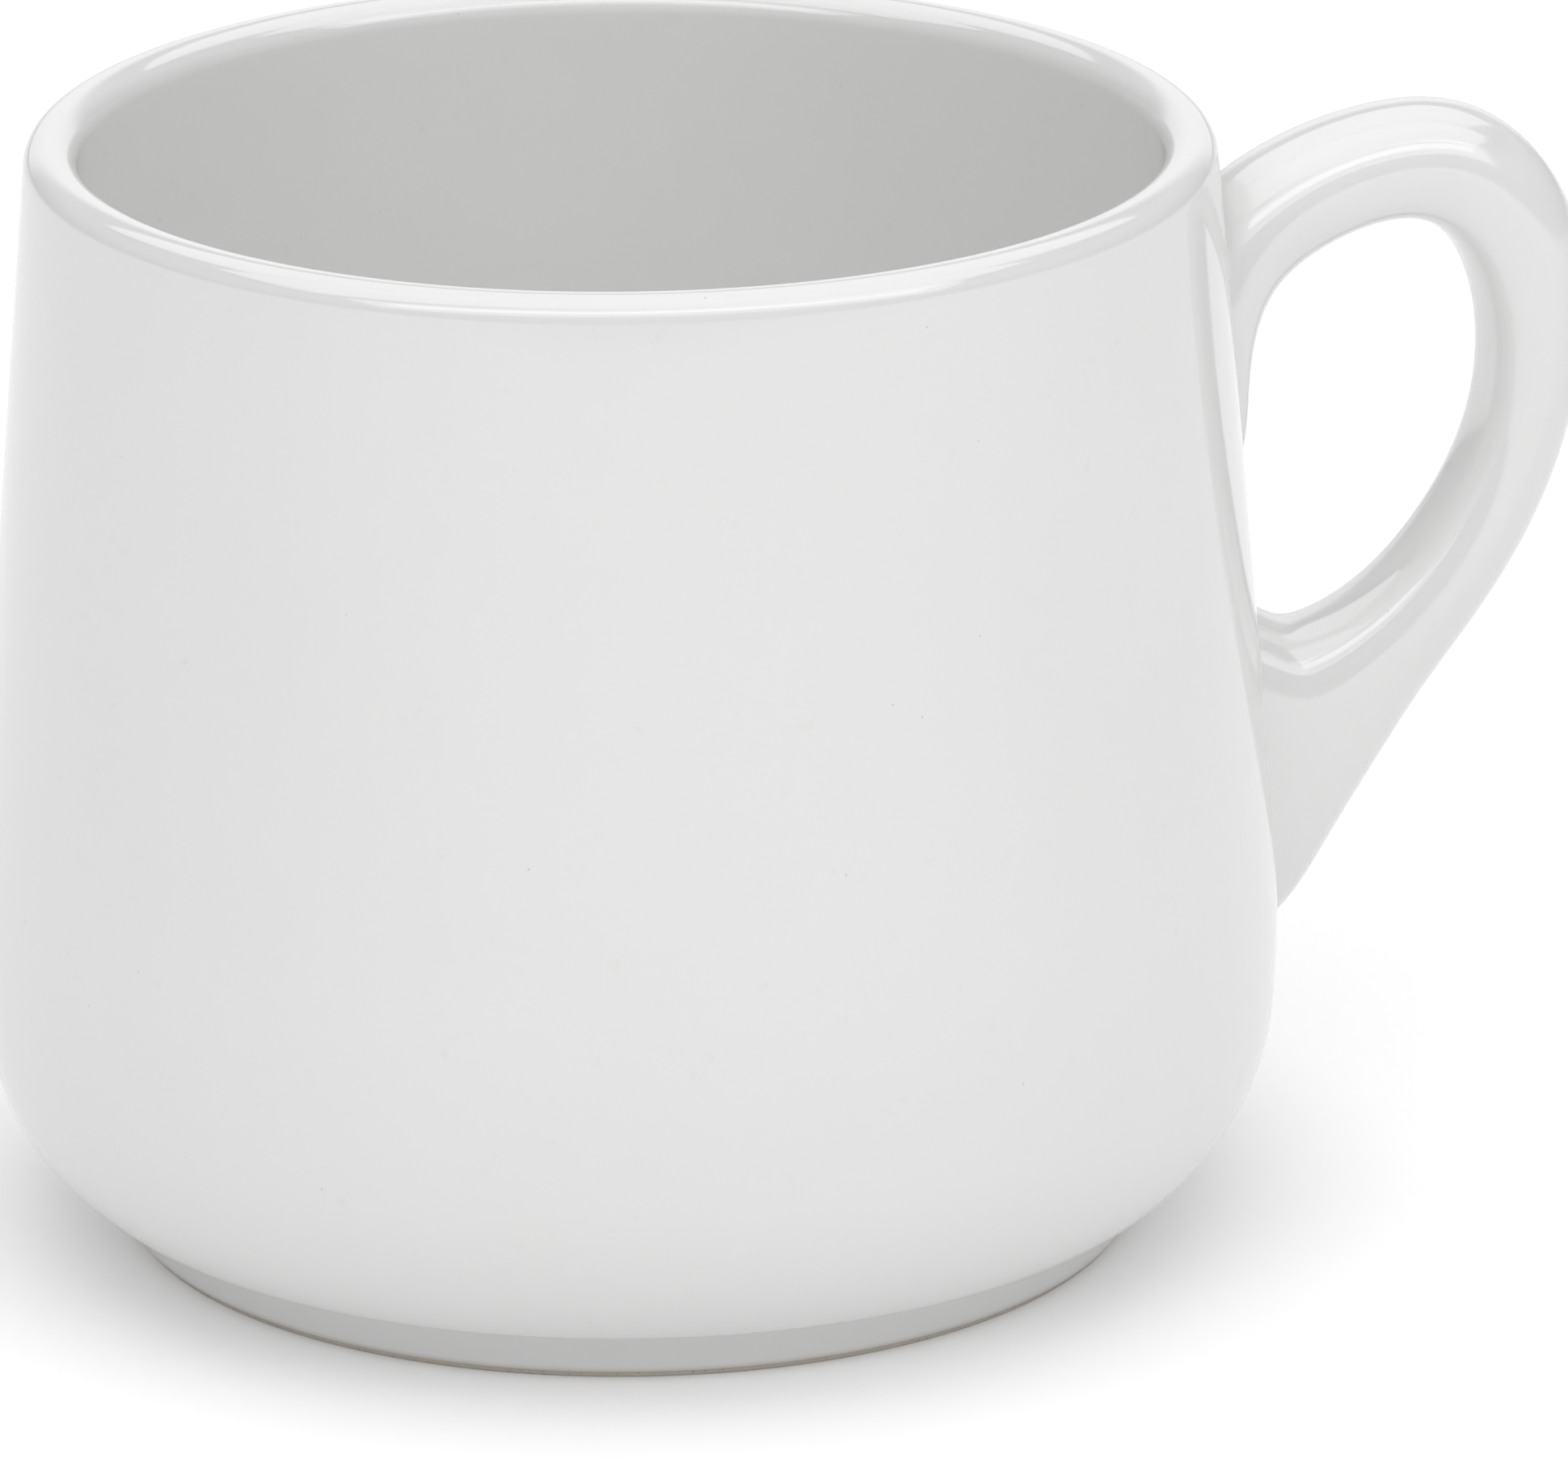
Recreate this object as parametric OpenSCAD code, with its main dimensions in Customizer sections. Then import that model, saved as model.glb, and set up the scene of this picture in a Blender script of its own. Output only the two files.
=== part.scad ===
// Glazed ceramic cup with a loop handle. Millimetres, +Z up.
// The origin is the middle of the standing ring, on the surface that the cup stands on.
// The handle points along +X. Sizes are of the finished cup, over the glaze, unless they say clay.

/* [Cup] */
// Height to the top of the lip
cup_h = 85; // [80:1:100]
// Diameter over the outside of the lip
rim_d = 89.4; // [84:0.1:94]
// Largest diameter, at the belly
belly_d = 99; // [95:0.1:108]
// Height of the largest diameter
belly_z = 23.5; // [21:0.5:26]
// Radius of the long bow that carries the belly up into the straight wall
bow_r = 91; // [75:1:130]
// Radius of the belly's turn into the underside
turn_r = 16.7; // [15.5:0.1:20]
// How far below the widest point that turn begins, in degrees
turn_from = 4.2; // [2:0.1:6]
// Height of the belly's lower edge
edge_z = 4.9; // [4.4:0.1:6]
// Radius on the belly's lower edge
edge_r = 0.8; // [0.7:0.1:1.5]
// Thickness of the wall, which is also that of the fully rounded lip
wall_t = 4; // [3:0.1:5.5]
// Thickness of the floor in the middle
floor_t = 5.5; // [4:0.1:8]
// Radius between the wall and the floor inside
inner_turn_r = 12; // [6:0.5:14]

/* [Foot ring] */
// How far the root of the ring stands in from the belly's lower edge, in clay
foot_inset = 3.1; // [2:0.1:9]
// How much further out the ring's face is at its root than at its standing edge
foot_taper = 1; // [0.2:0.1:1.6]
// Width of the clay ring where it stands
foot_ring_t = 4; // [3:0.1:8]
// Radius on the ring's two standing edges
foot_edge_r = 0.35; // [0.2:0.05:0.9]
// Radius in the corner between the ring and the underside
foot_root_r = 0.6; // [0.45:0.05:1]
// Height of the recess inside the ring
recess_h = 3.2; // [2.4:0.1:4.5]
// Radius in the corner of the recess
recess_turn_r = 1; // [0.6:0.1:1.2]

/* [Handle] */
// Width of the finger gap, from the wall to the inside of the bar
gap_w = 21; // [18:0.5:26]
// Height of the finger gap
gap_h = 31.5; // [29:0.5:35]
// Drop from the top of the lip to the roof of the finger gap
gap_drop = 11; // [9:0.5:13]
// Depth of the bar, from the gap to the outside
bar_t = 8.4; // [7:0.1:11]
// Width of the bar across
bar_w = 9.8; // [8:0.1:12]
// Height of the flared roots on the wall
root_h = 26; // [24:0.5:28]
// Width of the roots across
root_w = 12.6; // [12:0.1:18]

/* [Glaze and slip] */
// Thickness of the glaze
glaze_t = 0.25; // [0.15:0.05:0.4]
// Height of the bare clay between the ring's rounded edges and the glaze
bare_h = 0.1; // [0.05:0.05:1]
// Thickness of the slip between the handle's roots and the wall
slip_t = 0.4; // [0.3:0.05:0.8]

/* [Hidden] */

// Facets round the cup, and steps along the arcs of its outline
$fn = 180;
small_steps = 6;
round_steps = 14;
bow_steps = 10;

// Where the outline's arcs have their centres, as radius and height
lip_r = wall_t / 2;
lip_c = [rim_d / 2 - lip_r, cup_h - lip_r];
bow_c = [belly_d / 2 - bow_r, belly_z];
turn_c = bow_c + (bow_r - turn_r) * [cos(turn_from), -sin(turn_from)];
// Angle at which the belly's turn reaches the height of its lower edge
edge_at = asin((turn_c[1] - edge_z) / turn_r);
edge_c = turn_c + (turn_r - edge_r) * [cos(edge_at), -sin(edge_at)];
// The straight wall touches both the lip's round and the bow, and leans in by this angle
lip_way = lip_c - bow_c;
wall_lean = atan2(lip_way[1], lip_way[0]) - acos((bow_r - lip_r) / norm(lip_way));

// Height of the floor, and the turn between the floor and the bow's inside
floor_z = recess_h + floor_t;
inner_bow_r = bow_r - wall_t;
inner_turn_at = asin((belly_z - floor_z - inner_turn_r) / (inner_bow_r - inner_turn_r));
inner_turn_c = bow_c + (inner_bow_r - inner_turn_r) * [cos(inner_turn_at), -sin(inner_turn_at)];

// The foot ring in clay, under the clay's underside
under_z = edge_c[1] - edge_r + glaze_t;
face_lean = atan(foot_taper / under_z);
foot_r = edge_c[0] - foot_inset - foot_taper;
recess_r = foot_r - foot_ring_t;
recess_top_z = recess_h + glaze_t;
glaze_z = foot_edge_r + bare_h;

// Stations from the upper root to the lower one. Each gives a point of the line that bounds the
// finger gap, the way across the bar from there, and the bar's size:
// stand-off from the wall as a share of gap_w, height above the gap's floor as a share of gap_h,
// direction in degrees up from square to the wall, depth from bar_t at 0 to root_h at 1,
// width from bar_w at 0 to root_w at 1
station_shares = [
    [-0.14, 0.28, 90, 0.91, 1.00],
    [0.04, 0.35, 90, 0.72, 1.00],
    [0.06, 0.57, 92, 0.46, 0.90],
    [0.13, 0.80, 76, 0.21, 0.40],
    [0.38, 0.94, 62, 0.15, 0.10],
    [0.84, 1.03, 56, 0.04, 0.00],
    [1.07, 0.80, 28, 0.08, 0.00],
    [1.03, 0.43, 7, -0.06, 0.00],
    [0.70, 0.13, -51, -0.06, 0.00],
    [0.45, 0.01, -72, 0.07, 0.10],
    [0.23, -0.04, -87, 0.46, 0.50],
    [0.13, 0.00, -91, 0.85, 1.00],
    [-0.12, 0.09, -91, 1.24, 1.00],
];
// How sharply a root's long section turns at its ends, as a share of its half depth
knee_share = 0.35;
// How sharply the face towards the gap turns at its sides, as a share of its half width; a root's
// width share comes on top of it, so that the roots are rounder
face_share = 0.65;
station_steps = 3;
section_steps = 20;

gap_z = cup_h - gap_drop - gap_h;
// Height between the two roots on the wall
between_share = 0.2;
between_z = gap_z + between_share * gap_h;
bow_top_z = bow_c[1] + bow_r * sin(wall_lean);

// Points along an arc; first = 1 leaves out the point that the line before it ends on
function arc(centre, r, from, to, steps, first = 0) = [
    for (i = [first:steps])
        let (a = from + (to - from) * i / steps)
            centre + r * [cos(a), sin(a)]
];

function reversed(points) = [for (i = [len(points) - 1:-1:0]) points[i]];

// The outside from the top of the lip to the underside, moved outwards by off
function outer_line(off) = concat(
    arc(lip_c, lip_r + off, 90, wall_lean, round_steps),
    arc(bow_c, bow_r + off, wall_lean, -turn_from, bow_steps),
    arc(turn_c, turn_r + off, -turn_from, -edge_at, round_steps, 1),
    arc(edge_c, edge_r + off, -edge_at, -90, small_steps, 1)
);

// The inside from just past the top of the lip to the middle of the floor, moved inwards by off
function inner_line(off, first = 1) = concat(
    arc(lip_c, lip_r + off, 90, 180 + wall_lean, round_steps, first),
    arc(bow_c, inner_bow_r - off, wall_lean, -inner_turn_at, bow_steps),
    arc(inner_turn_c, inner_turn_r - off, -inner_turn_at, -90, round_steps, 1),
    [[0, floor_z + off]]
);

// Radius of the clay ring's outer face at height z
function foot_face_r(z) = foot_r + foot_taper * z / under_z;

// The corner under the belly and the ring's outer face down to the glaze line
function foot_line(off) =
    let (corner_z = under_z - foot_root_r)
        concat(
            arc(
                [foot_face_r(corner_z) + foot_root_r / cos(face_lean), corner_z],
                foot_root_r - off, 90, 180 - face_lean, small_steps
            ),
            [[foot_face_r(glaze_z) + off / cos(face_lean), glaze_z]]
        );

// The ring's standing face with its two rounded edges, from outside to inside
function standing_line() = concat(
    arc(
        [foot_face_r(foot_edge_r) - foot_edge_r / cos(face_lean), foot_edge_r],
        foot_edge_r, -face_lean, -90, small_steps
    ),
    arc([recess_r + foot_edge_r, foot_edge_r], foot_edge_r, -90, -180, small_steps)
);

// The recess from the glaze line up its wall and in to the middle of the base
function recess_line(off) = concat(
    [[recess_r - off, glaze_z]],
    arc(
        [recess_r - recess_turn_r, recess_top_z - recess_turn_r],
        recess_turn_r - off, 0, 90, small_steps
    ),
    [[0, recess_top_z - off]]
);

// Radius of the finished outside at height z, above the belly's lower turn
function wall_r(z) = z > bow_top_z
    ? bow_c[0] + bow_r * cos(wall_lean) - (z - bow_top_z) * tan(wall_lean)
    : bow_c[0] + sqrt(bow_r * bow_r - (z - belly_z) * (z - belly_z));

// Cubic B-spline through the stations, which starts and ends on the first and the last
function spline_point(p, i, t) = (
    pow(1 - t, 3) * p[i]
    + (3 * pow(t, 3) - 6 * pow(t, 2) + 4) * p[i + 1]
    + (3 * t + 3 * pow(t, 2) - 3 * pow(t, 3) + 1) * p[i + 2]
    + pow(t, 3) * p[i + 3]
) / 6;

function splined(p) =
    let (
        n = len(p),
        q = concat([2 * p[0] - p[1]], p, [2 * p[n - 1] - p[n - 2]])
    )
        concat(
            [for (i = [0:n - 2], k = [0:station_steps - 1]) spline_point(q, i, k / station_steps)],
            [spline_point(q, n - 2, 1)]
        );

// A cosine or sine drawn out towards its two ends; the smaller the share, the squarer
function bent(value, share) = value * sqrt((1 + share * share) / (value * value + share * share));

// One ring of points round the bar at a station
function handle_ring(s) =
    let (
        start = [wall_r(gap_z + s[1] * gap_h) + s[0] * gap_w, gap_z + s[1] * gap_h],
        depth = bar_t + s[3] * (root_h - bar_t),
        half_w = (bar_w + s[4] * (root_w - bar_w)) / 2,
        way = [cos(s[2] + wall_lean), sin(s[2] + wall_lean)]
    )
        [
            for (k = [0:section_steps - 1])
                let (
                    a = 360 * k / section_steps,
                    along = depth / 2 + (depth / 2 - half_w) * bent(cos(a), knee_share) + half_w * cos(a),
                    across = half_w * (cos(a) < 0 ? bent(sin(a), face_share + s[4]) : sin(a))
                )
                    [start[0] + way[0] * along, across, start[1] + way[1] * along]
        ];

// The rings of the whole handle, each point moved out of the surface by off
function handle_rings(off) =
    let (
        rings = [for (s = splined(station_shares)) handle_ring(s)],
        last = len(rings) - 1,
        n = section_steps
    )
        [
            for (i = [0:last])
                [
                    for (k = [0:n - 1])
                        let (
                            along = rings[min(i + 1, last)][k] - rings[max(i - 1, 0)][k],
                            round = rings[i][(k + 1) % n] - rings[i][(k + n - 1) % n],
                            out = cross(along, round)
                        )
                            rings[i][k] + off * out / norm(out)
                ]
        ];

// The handle's whole form, whose two ends lie inside the wall
module handle_form(off) {
    rings = handle_rings(off);
    n = section_steps;
    last = len(rings) - 1;
    sides = [
        for (i = [0:last - 1], k = [0:n - 1])
            let (j = (k + 1) % n)
                each [
                    [i * n + k, (i + 1) * n + j, (i + 1) * n + k],
                    [i * n + k, i * n + j, (i + 1) * n + j],
                ]
    ];
    ends = [
        for (k = [1:n - 2])
            each [
                [0, k + 1, k],
                [last * n, last * n + k, last * n + k + 1],
            ]
    ];
    polyhedron([for (ring = rings) each ring], concat(sides, ends));
}

// Everything within the outside of the body, as one plug without a hollow
module body_plug(off) {
    line = outer_line(off);
    rotate_extrude() polygon(concat([[0, line[0][1]]], line, [[0, line[len(line) - 1][1]]]));
}

// The slip under one of the roots, which lies between two heights
module slip_joint(low_z, high_z) {
    intersection() {
        handle_form(-glaze_t);
        difference() {
            body_plug(slip_t - glaze_t);
            body_plug(-glaze_t);
        }
        translate([0, -root_w, low_z]) cube([belly_d, root_w + root_w, high_z - low_z]);
    }
}

// Wall, lip, floor and foot ring, turned from one piece of clay
module cup_body() {
    color("linen") rotate_extrude() polygon(concat(
        outer_line(-glaze_t),
        foot_line(0),
        standing_line(),
        recess_line(0),
        reversed(inner_line(-glaze_t))
    ));
}

// The loop in clay, cut to the wall with room for the slip
module handle() {
    color("antiquewhite") difference() {
        handle_form(-glaze_t);
        body_plug(slip_t - glaze_t);
    }
}

module upper_slip_joint() {
    color("bisque") slip_joint(between_z, cup_h);
}

module lower_slip_joint() {
    color("wheat") slip_joint(0, between_z);
}

// The coat on the outside, open under the handle's roots
module outer_glaze() {
    color("whitesmoke") difference() {
        rotate_extrude() polygon(concat(
            outer_line(0),
            foot_line(glaze_t),
            reversed(foot_line(0)),
            reversed(outer_line(-glaze_t))
        ));
        handle_form(-glaze_t);
    }
}

// The coat inside the cup, which meets the outer coat on top of the lip
module liner_glaze() {
    color("white") rotate_extrude() polygon(concat(
        inner_line(0, 0),
        reversed(inner_line(-glaze_t, 0))
    ));
}

// The coat round the handle, open at both roots
module handle_glaze() {
    color("ghostwhite") difference() {
        handle_form(0);
        body_plug(0);
        handle_form(-glaze_t);
    }
}

// The coat in the recess under the base
module base_glaze() {
    color("snow") rotate_extrude() polygon(concat(
        recess_line(0),
        reversed(recess_line(glaze_t))
    ));
}

cup_body();
handle();
upper_slip_joint();
lower_slip_joint();
outer_glaze();
liner_glaze();
handle_glaze();
base_glaze();
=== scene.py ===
"""A white glazed cup with a loop handle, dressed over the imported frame.

Blender's units are metres, +Z up, with the handle along +X. The cup's outlines are worked out in
millimetres, from the same sizes as the frame's, and MM takes them to metres."""
import math

import bmesh
import bpy
import numpy as np
from mathutils import Matrix, Vector

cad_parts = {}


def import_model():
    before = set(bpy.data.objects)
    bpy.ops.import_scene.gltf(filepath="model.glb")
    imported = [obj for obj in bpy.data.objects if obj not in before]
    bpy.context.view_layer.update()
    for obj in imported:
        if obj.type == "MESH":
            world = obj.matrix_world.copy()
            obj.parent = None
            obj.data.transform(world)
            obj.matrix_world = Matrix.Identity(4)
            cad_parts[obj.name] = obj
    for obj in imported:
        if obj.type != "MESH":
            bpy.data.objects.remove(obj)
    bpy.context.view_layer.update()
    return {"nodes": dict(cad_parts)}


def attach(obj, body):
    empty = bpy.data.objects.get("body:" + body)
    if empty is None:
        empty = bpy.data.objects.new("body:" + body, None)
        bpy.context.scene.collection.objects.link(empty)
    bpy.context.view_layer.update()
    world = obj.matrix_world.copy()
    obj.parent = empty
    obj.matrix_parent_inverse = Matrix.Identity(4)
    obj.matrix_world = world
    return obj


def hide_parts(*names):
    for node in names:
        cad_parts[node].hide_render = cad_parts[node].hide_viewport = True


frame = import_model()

MM = 0.001

# Body
CUP_H = 85.0
RIM_D = 89.4
BELLY_D = 99.0
BELLY_Z = 23.5
BOW_R = 91.0
TURN_R = 16.7
TURN_FROM = 4.2
EDGE_Z = 4.9
EDGE_R = 0.8
WALL_T = 4.0
FLOOR_T = 5.5
INNER_TURN_R = 12.0

# Foot ring
FOOT_INSET = 3.1
FOOT_TAPER = 1.0
FOOT_RING_T = 4.0
FOOT_EDGE_R = 0.35
FOOT_ROOT_R = 0.6
RECESS_H = 3.2
RECESS_TURN_R = 1.0

# Handle
GAP_W = 21.0
GAP_H = 31.5
GAP_DROP = 11.0
BAR_T = 8.4
BAR_W = 9.8
ROOT_H = 26.0
ROOT_W = 12.6
# How sharply a deep section turns at its rounded ends
KNEE_SHARE = 0.35
# How sharply the face towards the gap turns at its sides; a root's width share comes on top of it,
# so that the roots are rounder
FACE_SHARE = 0.65

# Glaze and slip
GLAZE_T = 0.25
BARE_H = 0.1
SLIP_T = 0.4
# How far the glaze that fills the crease round a root runs out on the wall and up the handle
CREASE_RUN = 0.7
# How far below the wall's glaze the end of that run is tucked in
CREASE_DIP = 0.02

# Stations from the upper root to the lower one: stand-off from the wall as a share of GAP_W,
# height above the gap's floor as a share of GAP_H, direction in degrees up from square to the
# wall, depth from BAR_T at 0 to ROOT_H at 1, width from BAR_W at 0 to ROOT_W at 1
STATION_SHARES = np.array([
    (-0.14, 0.28, 90, 0.91, 1.00),
    (0.04, 0.35, 90, 0.72, 1.00),
    (0.06, 0.57, 92, 0.46, 0.90),
    (0.13, 0.80, 76, 0.21, 0.40),
    (0.38, 0.94, 62, 0.15, 0.10),
    (0.84, 1.03, 56, 0.04, 0.00),
    (1.07, 0.80, 28, 0.08, 0.00),
    (1.03, 0.43, 7, -0.06, 0.00),
    (0.70, 0.13, -51, -0.06, 0.00),
    (0.45, 0.01, -72, 0.07, 0.10),
    (0.23, -0.04, -87, 0.46, 0.50),
    (0.13, 0.00, -91, 0.85, 1.00),
    (-0.12, 0.09, -91, 1.24, 1.00),
])
LAST_STATION = len(STATION_SHARES) - 1

# Each rail of the handle leaves the wall within so many stations of its end. That place is looked
# for in ROOT_TRIES places, and the space between the best two is halved ROOT_HALVINGS times
ROOT_STATIONS = 4.0
ROOT_TRIES = 161
ROOT_HALVINGS = 30
# Small steps, in stations or radians: for the slopes of the surface, and for going along it
SLOPE_STEP = 1e-3
WALK_STEP = 0.01
WALK_STAGES = 8

# How finely the meshes are cut, and the degrees above which an edge stays sharp
ROUND_STEPS = 192
ARC_STEPS = 18
SMALL_STEPS = 6
BOW_STEPS = 18
HANDLE_ROWS = 132
SECTION_STEPS = 80
CREASE_STEPS = 7
END_RINGS = 8
SHARP_ABOVE = 50

# Colours of the glaze: its clouds, its faint mottle, its few specks, and where it thins out on
# the clay, which it does over THIN_RUN millimetres
GLAZE_GREY = (0.862, 0.860, 0.855)
GLAZE_WHITE = (0.892, 0.892, 0.890)
GLAZE_MOTTLE = (0.847, 0.844, 0.835)
GLAZE_SPECK = (0.70, 0.685, 0.66)
GLAZE_THIN = (0.66, 0.62, 0.57)
THIN_RUN = 0.6
GLAZE_IOR = 1.6
GLAZE_SPECULAR = 1.0

# Where most of a noise's values lie
NOISE_LOW = 0.3
NOISE_HIGH = 0.7

# Colours of the fired clay and slip
CLAY_DARK = (0.60, 0.55, 0.48)
CLAY_PALE = (0.72, 0.68, 0.61)
CLAY_GRIT = (0.50, 0.45, 0.39)
SLIP_DARK = (0.57, 0.53, 0.47)
SLIP_PALE = (0.66, 0.62, 0.56)

# Camera in metres and degrees, in front of the cup; CAMERA_ROUND is how far it then goes round Z,
# so that the handle points back from it
CAMERA_ROUND = -15.0
CAMERA_BACK = 0.90582
CAMERA_UP = 0.34074
CAMERA_PITCH = 18.517
CAMERA_YAW = 0.757
CAMERA_ROLL = -0.298
CAMERA_LENS = 288.73
SENSOR_W = 36.0
CLIP_NEAR = 0.05
CLIP_FAR = 50.0

# Floor, in metres
FLOOR_HALF = 6.0
FLOOR_CUTS = 8
FLOOR_COLOUR = (0.90, 0.90, 0.90)
# The floor's white glow, as the camera and reflections see it, by the cup and away from it, and
# the millimetres from the cup's axis between which it grows; the stronger glow away from the cup
# is painted light that washes out the cup's shadow there
GLOW_NEAR = 0.14
GLOW_FAR = 0.26
GLOW_NEAR_R = 42.0
GLOW_FAR_R = 64.0

# Lamps, in metres, and the watts per square metre that make a lamp's face white
LAMP_AWAY = 1.3
LAMP_AIM = Vector((0, 0, 0.045))
LAMP_POWER = 4.0

# The room: its walls end and its dim ceiling begins at these shares of straight up, and the white
# sheet starts and is full at these shares of straight behind
WHITE = (1, 1, 1)
ROOM_LOW = (0.38, 0.38, 0.38)
ROOM_HIGH = (0.06, 0.06, 0.06)
WALLS_TO = 0.36
CEILING_FROM = 0.56
SHEET_FROM = 0.86
SHEET_FULL = 0.93


def toward(degrees):
    """Unit vectors as radius and height, at angles above level."""
    a = np.radians(degrees)
    return np.stack([np.cos(a), np.sin(a)], axis=-1)


def full_turn(steps):
    """The angles that cut a full turn into that many steps."""
    return np.arange(steps) * 2 * math.pi / steps


SECTION_ANGLES = full_turn(SECTION_STEPS)

# Centres of the outline's arcs, as radius and height, and the angles where they meet
LIP_R = WALL_T / 2
LIP_C = np.array([RIM_D / 2 - LIP_R, CUP_H - LIP_R])
BOW_C = np.array([BELLY_D / 2 - BOW_R, BELLY_Z])
LIP_WAY = LIP_C - BOW_C
WALL_LEAN = math.degrees(
    math.atan2(LIP_WAY[1], LIP_WAY[0]) - math.acos((BOW_R - LIP_R) / math.hypot(*LIP_WAY))
)
TURN_C = BOW_C + (BOW_R - TURN_R) * toward(-TURN_FROM)
EDGE_AT = math.degrees(math.asin((TURN_C[1] - EDGE_Z) / TURN_R))
EDGE_C = TURN_C + (TURN_R - EDGE_R) * toward(-EDGE_AT)
FLOOR_Z = RECESS_H + FLOOR_T
INNER_BOW_R = BOW_R - WALL_T
INNER_TURN_AT = math.degrees(
    math.asin((BELLY_Z - FLOOR_Z - INNER_TURN_R) / (INNER_BOW_R - INNER_TURN_R))
)
INNER_TURN_C = BOW_C + (INNER_BOW_R - INNER_TURN_R) * toward(-INNER_TURN_AT)

# The foot ring: its top under the belly, the lean and radius of its faces, and the glaze line
UNDER_Z = EDGE_C[1] - EDGE_R + GLAZE_T
FACE_LEAN = math.degrees(math.atan(FOOT_TAPER / UNDER_Z))
COS_LEAN = math.cos(math.radians(FACE_LEAN))
FOOT_R = EDGE_C[0] - FOOT_INSET - FOOT_TAPER
RECESS_R = FOOT_R - FOOT_RING_T
RECESS_TOP_Z = RECESS_H + GLAZE_T
GLAZE_Z = FOOT_EDGE_R + BARE_H

# The height of the gap's floor, and the points where the wall, the bow and the turn meet
GAP_Z = CUP_H - GAP_DROP - GAP_H
BOW_TOP = BOW_C + BOW_R * toward(WALL_LEAN)
TURN_TOP = BOW_C + BOW_R * toward(-TURN_FROM)


def arc(centre, r, start, end, steps, first=0):
    """Points along an arc; first=1 leaves out the point that the line before it ends on."""
    turn = end - start
    return [centre + r * toward(start + turn * i / steps) for i in range(first, steps + 1)]


def between(a, b, steps):
    """The points that cut a straight run into that many steps, without its ends."""
    return [a + (b - a) * i / steps for i in range(1, steps)]


def outer_line(off):
    """The outside from the top of the lip to the underside, moved outwards by off."""
    lip = arc(LIP_C, LIP_R + off, 90, WALL_LEAN, ARC_STEPS)
    bow = arc(BOW_C, BOW_R + off, WALL_LEAN, -TURN_FROM, BOW_STEPS)
    turn = arc(TURN_C, TURN_R + off, -TURN_FROM, -EDGE_AT, ARC_STEPS, 1)
    edge = arc(EDGE_C, EDGE_R + off, -EDGE_AT, -90, SMALL_STEPS, 1)
    return lip + between(lip[-1], bow[0], BOW_STEPS) + bow + turn + edge


def inner_line(off):
    """The inside from just past the lip's top to the middle of the floor, moved inwards by off."""
    lip = arc(LIP_C, LIP_R + off, 90, 180 + WALL_LEAN, ARC_STEPS, 1)
    bow = arc(BOW_C, INNER_BOW_R - off, WALL_LEAN, -INNER_TURN_AT, BOW_STEPS)
    turn = arc(INNER_TURN_C, INNER_TURN_R - off, -INNER_TURN_AT, -90, ARC_STEPS, 1)
    middle = np.array([0.0, FLOOR_Z + off])
    wall = between(lip[-1], bow[0], BOW_STEPS)
    return lip + wall + bow + turn + between(turn[-1], middle, SMALL_STEPS) + [middle]


def foot_face_r(z):
    """Radius of the clay ring's outer face at height z."""
    return FOOT_R + FOOT_TAPER * z / UNDER_Z


def foot_line(off):
    """The corner under the belly and the ring's outer face, down to where the glaze ends."""
    corner_z = UNDER_Z - FOOT_ROOT_R
    corner = np.array([foot_face_r(corner_z) + FOOT_ROOT_R / COS_LEAN, corner_z])
    down = arc(corner, FOOT_ROOT_R - off, 90, 180 - FACE_LEAN, SMALL_STEPS)
    end = np.array([foot_face_r(GLAZE_Z + GLAZE_T) + off / COS_LEAN, GLAZE_Z + GLAZE_T])
    return down + between(down[-1], end, SMALL_STEPS) + [end]


def glaze_end(face_r, side):
    """The glaze's rounded lower edge on a clay face, outwards of it for side 1, inwards for -1."""
    points = []
    for i in range(1, SMALL_STEPS + 1):
        level, down = GLAZE_T * toward(90 * i / SMALL_STEPS)
        z = GLAZE_Z + GLAZE_T - down
        points.append(np.array([face_r(z) + side * level, z]))
    return points


def standing_line():
    """The clay below the glaze: down the outer face, over the two rounded edges and up inside."""
    outer = np.array([foot_face_r(FOOT_EDGE_R) - FOOT_EDGE_R / COS_LEAN, FOOT_EDGE_R])
    inner = np.array([RECESS_R + FOOT_EDGE_R, FOOT_EDGE_R])
    first = arc(outer, FOOT_EDGE_R, -FACE_LEAN, -90, SMALL_STEPS)
    last = arc(inner, FOOT_EDGE_R, -90, -180, SMALL_STEPS)
    return first + between(first[-1], last[0], SMALL_STEPS) + last


def recess_line(off):
    """The recess from the glaze line up its wall and in to the middle of the base."""
    start = np.array([RECESS_R - off, GLAZE_Z + GLAZE_T])
    corner = np.array([RECESS_R - RECESS_TURN_R, RECESS_TOP_Z - RECESS_TURN_R])
    turn = arc(corner, RECESS_TURN_R - off, 0, 90, SMALL_STEPS)
    middle = np.array([0.0, RECESS_TOP_Z - off])
    return [start] + turn + between(turn[-1], middle, SMALL_STEPS) + [middle]


def wall_r(z):
    """Radius of the finished outside at heights z, on the straight wall, the bow or the turn."""
    straight = BOW_TOP[0] - (z - BOW_TOP[1]) * math.tan(math.radians(WALL_LEAN))
    bow = BOW_C[0] + np.sqrt(np.maximum(BOW_R**2 - (z - BELLY_Z) ** 2, 0))
    turn = TURN_C[0] + np.sqrt(np.maximum(TURN_R**2 - (z - TURN_C[1]) ** 2, 0))
    return np.where(z > BOW_TOP[1], straight, np.where(z > TURN_TOP[1], bow, turn))


def wall_slope(z):
    """How many degrees the wall's outward normal points up at heights z."""
    bow = np.degrees(np.arcsin(np.clip((z - BELLY_Z) / BOW_R, -1, 1)))
    turn = np.degrees(np.arcsin(np.clip((z - TURN_C[1]) / TURN_R, -1, 1)))
    return np.where(z > BOW_TOP[1], WALL_LEAN, np.where(z > TURN_TOP[1], bow, turn))


def above_wall(p):
    """How far points in millimetres stand off the wall, measured level."""
    return np.hypot(p[..., 0], p[..., 1]) - wall_r(p[..., 2])


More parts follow.
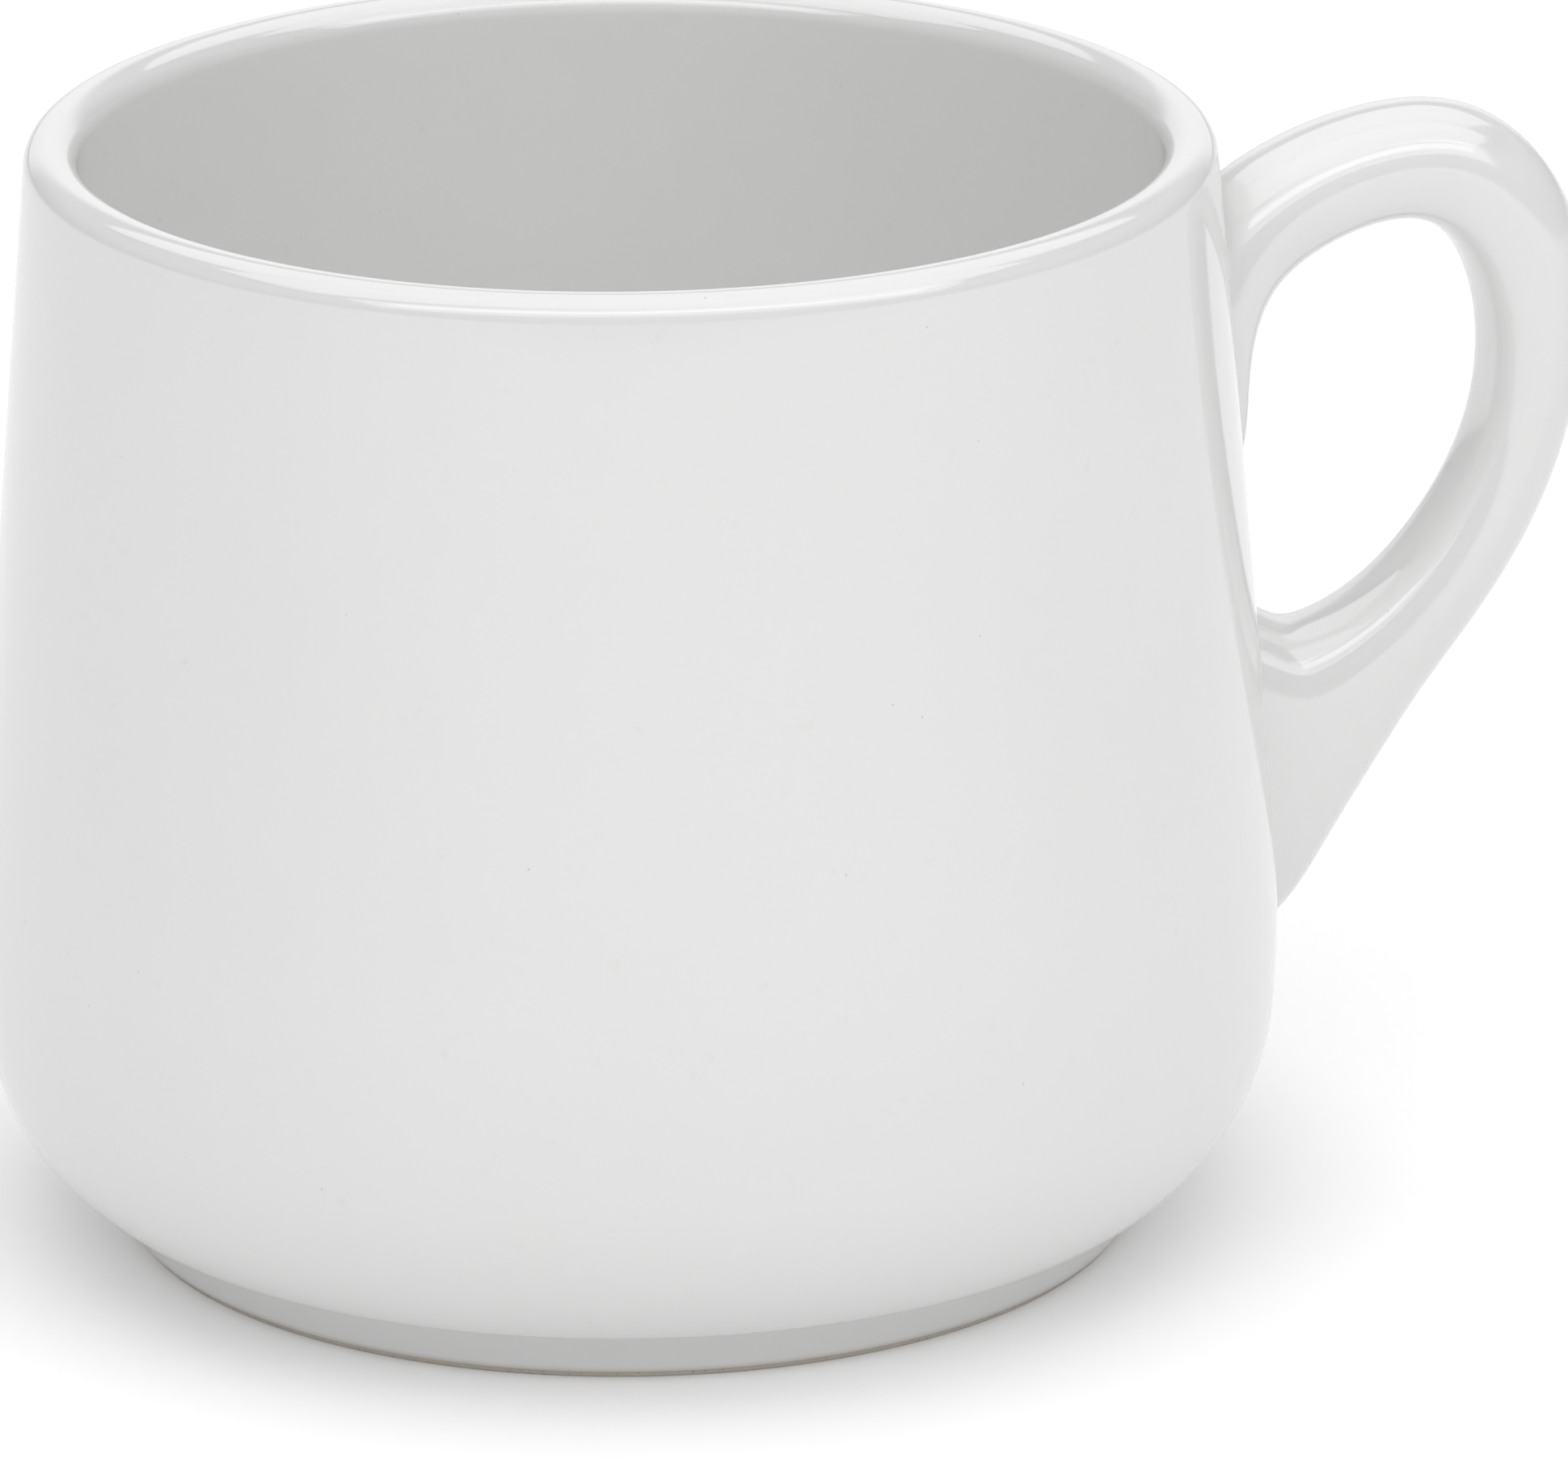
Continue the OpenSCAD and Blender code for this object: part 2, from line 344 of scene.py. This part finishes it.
def onto_wall(p, lift=0.0):
    """The points moved level, towards or away from the axis, to stand off the wall by lift."""
    scale = (wall_r(p[..., 2]) + lift) / np.hypot(p[..., 0], p[..., 1])
    return np.stack([p[..., 0] * scale, p[..., 1] * scale, p[..., 2]], axis=-1)


def wall_normal(p):
    """The wall's outward normals beside points."""
    slope = toward(wall_slope(p[..., 2]))
    r = np.hypot(p[..., 0], p[..., 1])
    x = slope[..., 0] * p[..., 0] / r
    y = slope[..., 0] * p[..., 1] / r
    return np.stack([x, y, slope[..., 1]], axis=-1)


def unit(v):
    """Vectors scaled to length 1."""
    return v / np.linalg.norm(v, axis=-1, keepdims=True)


def station(u):
    """The handle's station at places u along it, on a cubic B-spline through its two ends."""
    p = STATION_SHARES
    q = np.concatenate([[2 * p[0] - p[1]], p, [2 * p[-1] - p[-2]]])
    i = np.clip(np.floor(u).astype(int), 0, len(p) - 2)
    t = (u - i)[..., None]
    return (
        (1 - t) ** 3 * q[i]
        + (3 * t**3 - 6 * t**2 + 4) * q[i + 1]
        + (3 * t + 3 * t**2 - 3 * t**3 + 1) * q[i + 2]
        + t**3 * q[i + 3]
    ) / 6


def bent(value, share):
    """A cosine or sine drawn out towards its two ends; the smaller the share, the squarer."""
    return value * np.sqrt((1 + share**2) / (value**2 + share**2))


def bar_point(u, a):
    """Points of the handle's finished surface at places u along it and angles a round it."""
    s = station(u)
    z = GAP_Z + s[..., 1] * GAP_H
    x = wall_r(z) + s[..., 0] * GAP_W
    depth = BAR_T + s[..., 3] * (ROOT_H - BAR_T)
    half_w = (BAR_W + s[..., 4] * (ROOT_W - BAR_W)) / 2
    way = toward(s[..., 2] + WALL_LEAN)
    c = np.cos(a)
    along = depth / 2 + (depth / 2 - half_w) * bent(c, KNEE_SHARE) + half_w * c
    across = half_w * np.where(c < 0, bent(np.sin(a), FACE_SHARE + s[..., 4]), np.sin(a))
    return np.stack([x + way[..., 0] * along, across, z + way[..., 1] * along], axis=-1)


def bar_normal(u, a):
    """The handle's outward normals at places u and angles a."""
    before, after = np.maximum(u - SLOPE_STEP, 0), np.minimum(u + SLOPE_STEP, LAST_STATION)
    along = bar_point(after, a) - bar_point(before, a)
    round_it = bar_point(u, a + SLOPE_STEP) - bar_point(u, a - SLOPE_STEP)
    return unit(np.cross(along, round_it))


def coated_point(u, a, off):
    """Points of the handle's surface moved outwards by off."""
    return bar_point(u, a) + off * bar_normal(u, a)


def leaves_wall(a, off, lift, lower):
    """Where the handle's surface, moved by off, stands off the wall by lift.

    The place is looked for at the lower root if lower is true, otherwise at the upper one."""
    near, far = (LAST_STATION, LAST_STATION - ROOT_STATIONS) if lower else (0.0, ROOT_STATIONS)
    tries = np.linspace(near, far, ROOT_TRIES)

    def inside(places):
        return above_wall(coated_point(places, a, off)) <= lift

    found = np.array([inside(np.full_like(a, u)) for u in tries])
    k = ROOT_TRIES - 1 - np.argmax(found[::-1], axis=0)
    low, high = tries[k], tries[np.minimum(k + 1, ROOT_TRIES - 1)]
    for _ in range(ROOT_HALVINGS):
        mid = (low + high) / 2
        under = inside(mid)
        low, high = np.where(under, mid, low), np.where(under, high, mid)
    return (low + high) / 2


def moved_along(place, a, distance):
    """Places that lie so many millimetres further along the handle's surface."""
    step = math.copysign(WALK_STEP, distance)
    for _ in range(WALK_STAGES):
        gone = np.linalg.norm(bar_point(place + step, a) - bar_point(place, a), axis=-1)
        place = place + step * abs(distance) / WALK_STAGES / gone
    return place


def skin_rows(angles, off, lift, inset=0.0):
    """Rows of points over the whole handle, moved outwards by off, from one root to the other.

    Each rail starts and ends where it stands off the wall by lift, or inset millimetres later."""
    first = leaves_wall(angles, off, lift, False)
    last = leaves_wall(angles, off, lift, True)
    if inset > 0:
        first = moved_along(first, angles, inset)
        last = moved_along(last, angles, -inset)
    places = first + (last - first) * np.linspace(0, 1, HANDLE_ROWS)[:, None]
    return list(coated_point(places, np.broadcast_to(angles, places.shape), off))


def crease_rows(angles, top, lower):
    """The glaze in the crease round one root, from its end on the wall up to the row top."""
    place = leaves_wall(angles, 0.0, 0.0, lower)
    root = bar_point(place, angles)
    wall = wall_normal(root)
    out = bar_normal(place, angles)
    away = unit(out - np.sum(out * wall, axis=-1, keepdims=True) * wall)
    foot = onto_wall(root + CREASE_RUN * away)
    tucked = onto_wall(root + (CREASE_RUN + 2 * CREASE_DIP) * away, -CREASE_DIP)
    buried = onto_wall(root, -2 * CREASE_DIP)
    curve = [
        (1 - t) ** 2 * foot + 2 * t * (1 - t) * root + t**2 * top
        for t in (i / CREASE_STEPS for i in range(CREASE_STEPS))
    ]
    return [buried, tucked] + curve


def end_rings(ring, lift):
    """Rings that close one end of the handle's clay along the wall, and the middle point."""
    middle = ring.mean(axis=0)
    shares = [i / END_RINGS for i in range(1, END_RINGS)]
    rings = [onto_wall(ring + (middle - ring) * share, lift) for share in shares]
    return rings, onto_wall(middle[None], lift)[0]


def mesh_of_rows(name, rows, closed, start=None, end=None):
    """A mesh through rings of points in millimetres, joined ring to ring.

    closed joins the last ring to the first; start and end are points that close the two ends."""
    bm = bmesh.new()
    rings = [[bm.verts.new(Vector(p) * MM) for p in row] for row in rows]
    n = len(rings[0])
    pairs = list(zip(rings, rings[1:])) + ([(rings[-1], rings[0])] if closed else [])
    for one, other in pairs:
        for k in range(n):
            j = (k + 1) % n
            bm.faces.new((one[k], one[j], other[j], other[k]))
    for point, ring in ((start, rings[0]), (end, rings[-1])):
        if point is not None:
            tip = bm.verts.new(Vector(point) * MM)
            for k in range(n):
                bm.faces.new((tip, ring[k], ring[(k + 1) % n]))
    bmesh.ops.recalc_face_normals(bm, faces=bm.faces)
    mesh = bpy.data.meshes.new(name)
    bm.to_mesh(mesh)
    bm.free()
    return mesh


def turned_mesh(name, outline):
    """A body of revolution from an outline of radius and height; points on Z close its ends."""
    turns = full_turn(ROUND_STEPS)
    rows = [
        np.stack([r * np.cos(turns), r * np.sin(turns), np.full(ROUND_STEPS, z)], axis=-1)
        for r, z in outline if r > 0
    ]
    ends = (outline[0], outline[-1])
    start, end = (np.array([0, 0, p[1]]) if p[0] == 0 else None for p in ends)
    return mesh_of_rows(name, rows, start is None, start, end)


def add_piece(mesh, material, slot, *nodes):
    """Links a mesh as a smooth piece of the one body, in place of those CAD nodes, which it hides.
    """
    mesh.shade_smooth()
    mesh.set_sharp_from_angle(angle=math.radians(SHARP_ABOVE))
    mesh.materials.append(material)
    piece = bpy.data.objects.new(mesh.name, mesh)
    bpy.context.scene.collection.objects.link(piece)
    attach(piece, "root")
    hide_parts(*nodes)


class Nodes:
    """Short calls that add nodes to a tree and join them, and return the result's socket."""

    def __init__(self, tree):
        self.tree = tree

    def node(self, kind, **settings):
        """The new node itself, with those settings."""
        made = self.tree.nodes.new(kind)
        for key, value in settings.items():
            setattr(made, key, value)
        return made

    def join(self, source, target):
        """Links one socket to another."""
        self.tree.links.new(source, target)

    def worked_out(self, operation, one, other):
        """The result of a calculation with two values."""
        made = self.node("ShaderNodeMath", operation=operation)
        self.join(one, made.inputs[0])
        self.join(other, made.inputs[1])
        return made.outputs[0]

    def ramp(self, value, low, high, at_low=0.0, at_high=1.0, kind="SMOOTHSTEP"):
        """at_low where the value is low or less, at_high where it is high or more."""
        made = self.node("ShaderNodeMapRange", interpolation_type=kind)
        self.join(value, made.inputs["Value"])
        ends = {"From Min": low, "From Max": high, "To Min": at_low, "To Max": at_high}
        for key, number in ends.items():
            made.inputs[key].default_value = number
        return made.outputs["Result"]

    def mix(self, share, one, other):
        """Colours mixed by share; each is a colour or a socket."""
        made = self.node("ShaderNodeMix", data_type="RGBA")
        self.join(share, made.inputs[0])
        for socket, colour in ((made.inputs[6], one), (made.inputs[7], other)):
            if isinstance(colour, tuple):
                socket.default_value = (*colour, 1)
            else:
                self.join(colour, socket)
        return made.outputs[2]


class Shade(Nodes):
    """A material under construction. inputs are its shader's, place is the object's own."""

    def __init__(self, name):
        self.material = bpy.data.materials.new(name)
        self.material.use_nodes = True
        super().__init__(self.material.node_tree)
        self.inputs = self.tree.nodes["Principled BSDF"].inputs
        self.place = self.node("ShaderNodeTexCoord").outputs["Object"]

    def noise(self, size_mm, detail=2.0, roughness=0.5):
        """Noise whose lumps are about that many millimetres across."""
        made = self.node("ShaderNodeTexNoise")
        self.join(self.place, made.inputs["Vector"])
        made.inputs["Scale"].default_value = 1 / (size_mm * MM)
        made.inputs["Detail"].default_value = detail
        made.inputs["Roughness"].default_value = roughness
        return made.outputs["Fac"]

    def spots(self, apart_mm):
        """Distance from scattered points that are about that many millimetres apart."""
        made = self.node("ShaderNodeTexVoronoi")
        self.join(self.place, made.inputs["Vector"])
        made.inputs["Scale"].default_value = 1 / (apart_mm * MM)
        return made.outputs["Distance"]

    def height(self):
        """The height above the surface that the cup stands on, in metres."""
        made = self.node("ShaderNodeSeparateXYZ")
        self.join(self.place, made.inputs["Vector"])
        return made.outputs["Z"]

    def bump(self, value, depth_mm, below=None):
        """A bump of that depth from a value of 0 to 1, over the bump below it."""
        made = self.node("ShaderNodeBump")
        made.inputs["Strength"].default_value = 1.0
        made.inputs["Distance"].default_value = depth_mm * MM
        self.join(value, made.inputs["Height"])
        if below is not None:
            self.join(below, made.inputs["Normal"])
        return made.outputs["Normal"]

    def complete(self, colour, gloss, low, high, normal):
        """Joins up the colour, a roughness that a noise moves between two values, and the bump."""
        self.join(colour, self.inputs["Base Color"])
        roughness = self.ramp(gloss, NOISE_LOW, NOISE_HIGH, low, high)
        self.join(roughness, self.inputs["Roughness"])
        self.join(normal, self.inputs["Normal"])
        return self.material


def glaze_material():
    """Clear white glaze: wet shine, slow waves from dipping, a faint peel, a warmer thin edge."""
    s = Shade("white_glaze")
    cloud = s.mix(s.noise(size_mm=28, detail=3), GLAZE_GREY, GLAZE_WHITE)
    mottle = s.ramp(s.noise(size_mm=1.6, detail=4, roughness=0.6), 0.62, 0.80)
    specks = s.ramp(s.spots(apart_mm=4.2), 0.012, 0.03, 1.0, 0.0)
    thin = s.ramp(s.height(), GLAZE_Z * MM, (GLAZE_Z + THIN_RUN) * MM, 1.0, 0.0)
    colour = s.mix(specks, s.mix(mottle, cloud, GLAZE_MOTTLE), GLAZE_SPECK)
    s.inputs["IOR"].default_value = GLAZE_IOR
    s.inputs["Specular IOR Level"].default_value = GLAZE_SPECULAR
    waves = s.bump(s.noise(size_mm=16, detail=1), depth_mm=0.06)
    peel = s.bump(s.noise(size_mm=1.3), depth_mm=0.0012, below=waves)
    gloss = s.noise(size_mm=9, detail=3)
    return s.complete(s.mix(thin, colour, GLAZE_THIN), gloss, 0.05, 0.11, peel)


def clay_material():
    """Fired, unglazed clay: matt, warm, slightly rough, with fine grit."""
    s = Shade("fired_clay")
    tone = s.mix(s.noise(size_mm=3.5, detail=5, roughness=0.65), CLAY_DARK, CLAY_PALE)
    grit = s.ramp(s.spots(apart_mm=0.55), 0.10, 0.24, 1.0, 0.0)
    gloss = s.noise(size_mm=1.2, detail=4)
    grain = s.bump(s.noise(size_mm=0.35, detail=3), depth_mm=0.03)
    return s.complete(s.mix(grit, tone, CLAY_GRIT), gloss, 0.72, 0.92, grain)


def slip_material():
    """Fired slip in the joints: the clay's colour, smoother and a little greyer."""
    s = Shade("fired_slip")
    tone = s.mix(s.noise(size_mm=2.0, detail=4), SLIP_DARK, SLIP_PALE)
    gloss = s.noise(size_mm=0.8, detail=3)
    return s.complete(tone, gloss, 0.65, 0.85, s.bump(s.noise(size_mm=0.5), depth_mm=0.02))


def body_glaze(material):
    """The glaze over the lip, outside and inside, in one coat that ends above the clay ring."""
    outline = (
        inner_line(0)[::-1] + outer_line(0) + foot_line(GLAZE_T) + glaze_end(foot_face_r, 1)
        + foot_line(0)[::-1] + outer_line(-GLAZE_T)[::-1] + inner_line(-GLAZE_T)
    )
    add_piece(turned_mesh("body_glaze", outline), material, "glaze", "outer_glaze", "liner_glaze")


def base_coat(material):
    """The glaze in the recess under the base."""
    end = glaze_end(lambda z: RECESS_R, -1)
    outline = recess_line(GLAZE_T)[::-1] + end + recess_line(0)
    add_piece(turned_mesh("base_coat", outline), material, "glaze", "base_glaze")


def clay_body(material):
    """The body's clay, bare only where it stands."""
    outline = (
        inner_line(-GLAZE_T)[::-1] + outer_line(-GLAZE_T) + foot_line(0)
        + standing_line() + recess_line(0)
    )
    add_piece(turned_mesh("clay_body", outline), material, "clay", "cup_body")


def handle_coat(material):
    """The handle's glaze: a skin that fills the crease round each root, and its clay side."""
    skin = skin_rows(SECTION_ANGLES, 0.0, 0.0, CREASE_RUN)
    upper = crease_rows(SECTION_ANGLES, skin[0], False)
    lower = crease_rows(SECTION_ANGLES, skin[-1], True)
    inside = skin_rows(SECTION_ANGLES, -GLAZE_T, -2 * CREASE_DIP)
    mesh = mesh_of_rows("handle_coat", upper + skin + lower[::-1] + inside[::-1], True)
    add_piece(mesh, material, "glaze", "handle_glaze")


def handle_clay(material):
    """The handle's clay, whose ends follow the slip on the wall."""
    lift = SLIP_T - GLAZE_T
    rows = skin_rows(SECTION_ANGLES, -GLAZE_T, lift)
    upper, upper_tip = end_rings(rows[0], lift)
    lower, lower_tip = end_rings(rows[-1], lift)
    mesh = mesh_of_rows("handle_clay", upper[::-1] + rows + lower, False, upper_tip, lower_tip)
    add_piece(mesh, material, "clay", "handle")


def floor():
    """A plain pale floor, which keeps the cup's shadow.

    The camera and reflections see it whiter than it is lit, more so away from the cup, where the
    extra white is painted light that washes out the cup's shadow."""
    bm = bmesh.new()
    bmesh.ops.create_grid(bm, x_segments=FLOOR_CUTS, y_segments=FLOOR_CUTS, size=FLOOR_HALF)
    mesh = bpy.data.meshes.new("floor")
    bm.to_mesh(mesh)
    bm.free()
    s = Shade("pale_floor")
    s.inputs["Base Color"].default_value = (*FLOOR_COLOUR, 1)
    s.inputs["Roughness"].default_value = 1.0
    s.inputs["Specular IOR Level"].default_value = 0.0
    s.inputs["Emission Color"].default_value = (*WHITE, 1)
    ray = s.node("ShaderNodeLightPath").outputs
    seen = s.worked_out("MAXIMUM", ray["Is Camera Ray"], ray["Is Glossy Ray"])
    seen = s.worked_out("MAXIMUM", seen, ray["Is Transmission Ray"])
    away = s.node("ShaderNodeVectorMath", operation="LENGTH")
    s.join(s.place, away.inputs[0])
    # Painted light: the glow grows away from the cup and washes out the cup's shadow on the floor
    # there
    glow_and_painted_light = s.ramp(away.outputs["Value"], GLOW_NEAR_R * MM, GLOW_FAR_R * MM, GLOW_NEAR, GLOW_FAR)
    s.join(s.worked_out("MULTIPLY", seen, glow_and_painted_light), s.inputs["Emission Strength"])
    mesh.materials.append(s.material)
    plane = bpy.data.objects.new("floor", mesh)
    bpy.context.scene.collection.objects.link(plane)


def softbox(name, azimuth, elevation, width, height, brightness):
    """A flat lamp that faces the cup, from so many degrees round from the camera and up.

    width and height are the angles that it fills as the cup sees it, brightness 1 is white."""
    az, el = math.radians(azimuth + CAMERA_ROUND), math.radians(elevation)
    way = Vector((math.sin(az) * math.cos(el), -math.cos(az) * math.cos(el), math.sin(el)))
    data = bpy.data.lights.new(name, "AREA")
    data.shape = "RECTANGLE"
    data.size = 2 * LAMP_AWAY * math.tan(math.radians(width / 2))
    data.size_y = 2 * LAMP_AWAY * math.tan(math.radians(height / 2))
    data.energy = LAMP_POWER * brightness * data.size * data.size_y
    lamp = bpy.data.objects.new(name, data)
    lamp.location = LAMP_AIM + LAMP_AWAY * way
    lamp.rotation_euler = way.to_track_quat("Z", "Y").to_euler()
    lamp.visible_camera = False
    bpy.context.scene.collection.objects.link(lamp)


def world():
    """White to the camera. Round the cup grey walls, dim above, and a white sheet behind."""
    made = bpy.data.worlds.new("studio")
    made.use_nodes = True
    bpy.context.scene.world = made
    n = Nodes(made.node_tree)
    direction = n.node("ShaderNodeTexCoord").outputs["Generated"]
    turned = n.node("ShaderNodeVectorRotate", rotation_type="Z_AXIS")
    turned.inputs["Angle"].default_value = math.radians(-CAMERA_ROUND)
    n.join(direction, turned.inputs["Vector"])
    parts = n.node("ShaderNodeSeparateXYZ")
    n.join(turned.outputs["Vector"], parts.inputs["Vector"])
    walls = n.mix(n.ramp(parts.outputs["Z"], WALLS_TO, CEILING_FROM), ROOM_LOW, ROOM_HIGH)
    behind = n.ramp(parts.outputs["Y"], SHEET_FROM, SHEET_FULL, kind="LINEAR")
    room = n.mix(behind, walls, WHITE)
    camera_ray = n.node("ShaderNodeLightPath").outputs["Is Camera Ray"]
    background = made.node_tree.nodes["Background"]
    n.join(n.mix(camera_ray, room, WHITE), background.inputs["Color"])


def camera():
    """The photograph's view."""
    data = bpy.data.cameras.new("camera")
    data.sensor_width = SENSOR_W
    data.lens = CAMERA_LENS
    data.clip_start = CLIP_NEAR
    data.clip_end = CLIP_FAR
    eye = bpy.data.objects.new("camera", data)
    eye.matrix_world = (
        Matrix.Rotation(math.radians(CAMERA_ROUND), 4, "Z")
        @ Matrix.Translation((0, -CAMERA_BACK, CAMERA_UP))
        @ Matrix.Rotation(math.radians(-CAMERA_YAW), 4, "Z")
        @ Matrix.Rotation(math.radians(90 - CAMERA_PITCH), 4, "X")
        @ Matrix.Rotation(math.radians(CAMERA_ROLL), 4, "Z")
    )
    bpy.context.scene.collection.objects.link(eye)
    bpy.context.scene.camera = eye


glaze = glaze_material()
clay = clay_material()
slip = slip_material()
body_glaze(glaze)
base_coat(glaze)
clay_body(clay)
handle_coat(glaze)
handle_clay(clay)
for joint in ("upper_slip_joint", "lower_slip_joint"):
    frame["nodes"][joint].data.materials.clear()
    frame["nodes"][joint].data.materials.append(slip)

floor()
world()
# Name, degrees round from the camera, degrees up, width and height in degrees, brightness
softbox("main_softbox", 8, 42, 104, 30, 0.82)
softbox("strip_softbox", 8, 44, 90, 11, 0.9)
softbox("top_softbox", 0, 79, 104, 42, 0.92)
softbox("back_softbox", 180, 60, 80, 38, 0.8)
camera()
bpy.context.scene.view_settings.view_transform = "Standard"
